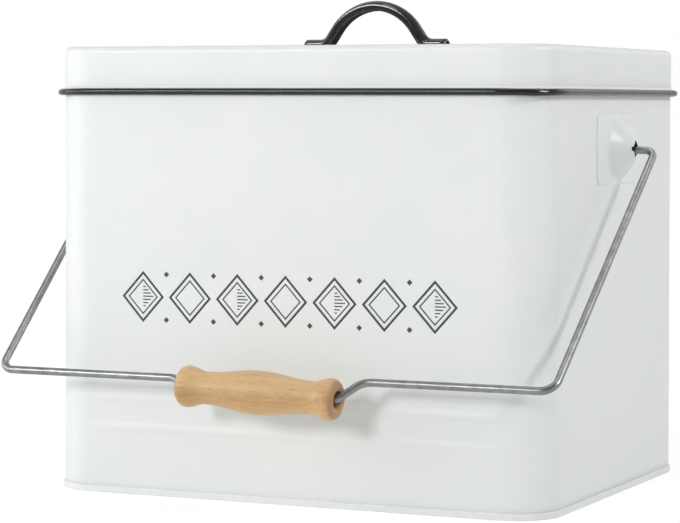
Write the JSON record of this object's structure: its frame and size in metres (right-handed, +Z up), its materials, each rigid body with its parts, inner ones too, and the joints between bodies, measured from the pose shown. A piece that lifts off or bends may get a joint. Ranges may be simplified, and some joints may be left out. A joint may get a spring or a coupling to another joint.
{
  "type": "compost caddy",
  "caption": "Boxy coated-steel kitchen compost caddy with a hinged cap lid, a black rolled rim and lid handle, and a swinging wire bail with a turned wooden grip.",
  "frame": {"origin": "centre of the base, on the plane of the seam that it stands on", "axes": "+X to the right seen from the front, front towards -Y, +Z up"},
  "size_m": [0.2895, 0.2444, 0.2336],
  "materials": {
    "white_coat": "semi-gloss powder coat",
    "black_coat": "gloss coat",
    "zinc_wire": "drawn wire, bright zinc",
    "zinc_fastener": "zinc plate",
    "beech": "turned, lightly oiled",
    "carbon_felt": "felt",
    "black_plastic": "matt"
  },
  "bodies": {
    "caddy": {"body_shell": "white_coat", "base_pan": "white_coat", "ear_plate_left": "white_coat", "ear_plate_right": "white_coat", "hinge_left_body_leaf": "white_coat", "hinge_left_pin": "zinc_fastener", "hinge_right_body_leaf": "white_coat", "hinge_right_pin": "zinc_fastener", "body_leaf_rivets": "white_coat"},
    "lid": {"lid_shell": "white_coat", "lid_rim": "black_coat", "lid_rim_wire": "zinc_wire", "lid_handle": "black_coat", "handle_screws": "zinc_fastener", "handle_washers": "zinc_fastener", "filter_holder": "black_plastic", "carbon_filter": "carbon_felt", "filter_rivets": "white_coat", "hinge_left_lid_leaf": "white_coat", "hinge_right_lid_leaf": "white_coat", "lid_leaf_rivets": "white_coat"},
    "bail": {"bail_wire": "zinc_wire"},
    "grip": {"bail_grip": "beech"}
  },
  "joints": [
    {"name": "lid_hinge", "type": "hinge", "parent": "caddy", "child": "lid", "pos_m": [0, 0.1027, 0.1888], "axis": [-1, 0, 0], "range_deg": [0, 105]},
    {"name": "bail_swing", "type": "hinge", "parent": "caddy", "child": "bail", "pos_m": [0, 0, 0.16185], "axis": [-1, 0, 0], "range_deg": [-8.4, 268]},
    {"name": "grip_spin", "type": "hinge", "parent": "bail", "child": "grip", "pos_m": [0.0006, -0.12874, 0.05421], "axis": [0.9988, -0.0375, -0.0313], "continuous": true}
  ]
}
